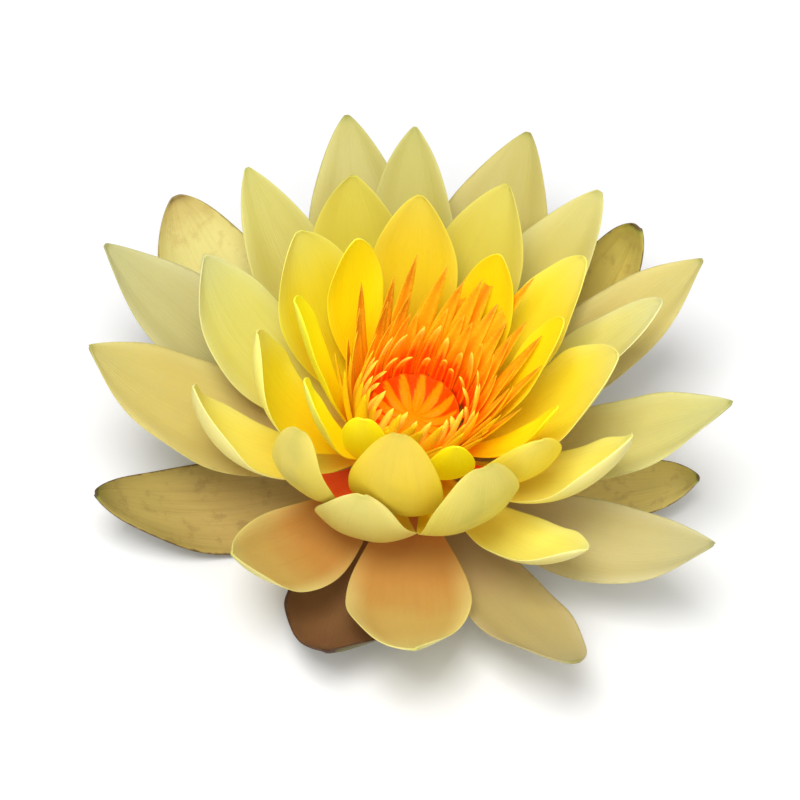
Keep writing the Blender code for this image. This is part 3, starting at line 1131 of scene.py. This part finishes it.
@dataclass
class Pistil:
    """The hollow rayed disc with the receptacle and the stem's end under it.

    The profile holds radius and height in mm, from the disc's middle over its rim and
    down to the stem.  From the point wall_from on, it is the outer wall.
    """

    profile: tuple[tuple[float, float], ...] = (
        (0.25, 20.6), (0.9, 20.5), (1.5, 20.3), (2.2, 19.95), (3.0, 19.8), (3.8, 19.7), (4.6, 19.75),
        (5.4, 19.95), (6.2, 20.3), (7.0, 20.85), (7.8, 21.6), (8.6, 22.5), (9.2, 23.3), (9.6, 23.7),
        (9.95, 23.3), (10.0, 22.4), (9.9, 18.0), (9.6, 14.5), (8.9, 11.5), (8.2, 8.0), (6.6, 5.0),
        (5.2, 2.2), (4.6, 0.5), (4.6, -2.3), (3.0, -2.3), (0.3, -2.2),
    )
    wall_from: int = 14
    rays: int = 13
    segments: int = 120
    ray_height: float = 0.55
    finish: PistilFinish = field(default_factory=PistilFinish)

    def model(self, axis: Vector) -> bpy.types.Object:
        """Draw rings out of a circle along the profile and raise the rays.

        Args:
            axis: where the flower's axis frame stands.

        Returns:
            The finished object.
        """
        bpy.ops.object.select_all(action="DESELECT")
        bpy.ops.mesh.primitive_circle_add(vertices=self.segments, radius=1.0, fill_type="NGON")
        disc = bpy.context.active_object
        bpy.ops.object.mode_set(mode="EDIT")
        bpy.ops.mesh.select_all(action="SELECT")
        for _ in self.profile[1:]:
            bpy.ops.mesh.extrude_region_move(TRANSFORM_OT_translate={"value": (0, 0, 1.0)})
        bpy.ops.mesh.select_all(action="SELECT")
        bpy.ops.object.mode_set(mode="OBJECT")
        unit = read_points(disc.data)
        ring = np.rint(unit[:, 2]).astype(int)
        radius, height = np.array(self.profile).T
        angle = np.arctan2(unit[:, 1], unit[:, 0])
        wave = 0.5 + 0.5 * np.cos(angle * self.rays + 0.4)
        open_part = smooth_step(radius[ring], 2.6, 4.5) * (ring < self.wall_from)
        sharp = smooth_step(wave, 0.35, 0.8)
        lifted = height[ring] + self.ray_height * sharp * open_part
        points = np.stack((radius[ring] * np.cos(angle), radius[ring] * np.sin(angle), lifted), 1)
        write_points(disc.data, points * MM + np.array(axis))
        narrow = np.clip((radius[ring] - 4.4) / 5.2, 0.0, 1.0)
        ray = smooth_step(wave - 0.25 * narrow - 0.8 * narrow**3, -0.1, 0.1)
        store(disc.data, "ray", ray)
        store(disc.data, "wall", (ring >= self.wall_from).astype(float))
        store(disc.data, "low", 1 - smooth_step(height[ring], 2.0, 12.0))
        bpy.ops.object.mode_set(mode="EDIT")
        bpy.ops.mesh.select_all(action="SELECT")
        bpy.ops.mesh.normals_make_consistent(inside=False)
        bpy.ops.object.mode_set(mode="OBJECT")
        bpy.ops.object.shade_smooth()
        return disc

    def build(self, axis: Vector) -> None:
        """Model the disc and stem, dress them and hand them to the frame."""
        disc = self.model(axis)
        disc.name = "pistil_disc"
        disc.data.name = disc.name
        disc.data.materials.append(self.finish.dye(disc.name))
        hand_over(disc, "pistil")


# ---------------------------------------------------------------------- studio


@dataclass
class Studio:
    """Pale floor, soft light and the camera.

    Sizes and places are in metres, angles in degrees, powers in watts and the lens in
    mm.  The view's middle lies frame_left and frame_up away from the flower's axis.
    """

    floor_size: float = 6.0
    elevation: float = 50.0
    camera_roll: float = 5.5
    distance: float = 0.7
    lens: float = 142.7
    aim_share: float = 0.3
    frame_left: float = 0.00254
    frame_up: float = 0.00662
    sky: float = 0.62
    key_power: float = 9.8
    key_size: float = 0.5
    key_place: tuple[float, float, float] = (-0.15, -0.35, 1.1)
    fill_power: float = 5.0
    fill_size: float = 1.0
    fill_place: tuple[float, float, float] = (0.0, -0.8, 0.9)

    def add_floor(self) -> None:
        """Lay the floor that isn't part of the flower."""
        bpy.ops.object.select_all(action="DESELECT")
        bpy.ops.mesh.primitive_plane_add(size=self.floor_size, location=(0, 0, -0.0002))
        floor = bpy.context.active_object
        floor.name = "floor"
        floor.data.materials.append(FloorFinish().dye("floor"))
        floor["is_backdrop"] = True

    def add_light(self) -> None:
        """Hang the soft key light and light the white surroundings."""
        world = bpy.data.worlds.new("surroundings")
        world.use_nodes = True
        background = world.node_tree.nodes["Background"]
        background.inputs["Color"].default_value = (1.0, 1.0, 1.0, 1.0)
        background.inputs["Strength"].default_value = self.sky
        bpy.context.scene.world = world
        self.hang(self.key_place, self.key_power, self.key_size)
        self.hang(self.fill_place, self.fill_power, self.fill_size)

    @staticmethod
    def hang(spot: tuple[float, float, float], power: float, size: float) -> None:
        """Hang one square soft light that faces the flower.

        Args:
            spot: where it hangs.
            power: its power in watts.
            size: its side.
        """
        place = Vector(spot)
        bpy.ops.object.light_add(type="AREA", location=place)
        lamp = bpy.context.active_object
        lamp.data.energy = power
        lamp.data.size = size
        lamp.rotation_euler = (-place).to_track_quat("-Z", "Y").to_euler()

    def add_camera(self, axis: Vector) -> None:
        """Stand the camera in front of and above the flower.

        Args:
            axis: where the flower's axis frame stands.
        """
        low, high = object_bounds()
        aim = Vector((axis.x, axis.y, low[2] + (high[2] - low[2]) * self.aim_share))
        slope, roll = radians(self.elevation), radians(self.camera_roll)
        back = Vector((0, -cos(slope), sin(slope)))
        level, upright = Vector((1, 0, 0)), Vector((0, sin(slope), cos(slope)))
        right = level * cos(roll) + upright * sin(roll)
        up = upright * cos(roll) - level * sin(roll)
        eye = aim + back * self.distance
        middle = aim - right * self.frame_left + up * self.frame_up
        back = (eye - middle).normalized()
        right = up.cross(back).normalized()
        up = back.cross(right)
        bpy.ops.object.camera_add(location=eye)
        camera = bpy.context.active_object
        camera.data.lens = self.lens
        camera.data.sensor_width = 36.0
        camera.matrix_world = Matrix.Translation(eye) @ Matrix((right, up, back)).transposed().to_4x4()
        bpy.context.scene.camera = camera

    def build(self, axis: Vector) -> None:
        """Set up floor, light and camera."""
        self.add_floor()
        self.add_light()
        self.add_camera(axis)
        bpy.context.scene.view_settings.view_transform = "Standard"
        LOG.info("studio set up")


def flower_axis(seat: float = 2.3 * MM) -> Vector:
    """Find where the flower's axis frame stands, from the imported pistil.

    Args:
        seat: how far the axis frame stands above the pistil's cut end.

    Returns:
        Its origin in metres.
    """
    low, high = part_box("pistil")
    return Vector(((low.x + high.x) / 2, (low.y + high.y) / 2, low.z + seat))


def main() -> None:
    """Build the flower around its frame, then the studio."""
    logging.basicConfig(level=logging.INFO, format="%(message)s")
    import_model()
    axis = flower_axis()
    for assembly in (Perianth(), StamenCrown(), Pistil(), Studio()):
        assembly.build(axis)


if __name__ == "__main__":
    main()
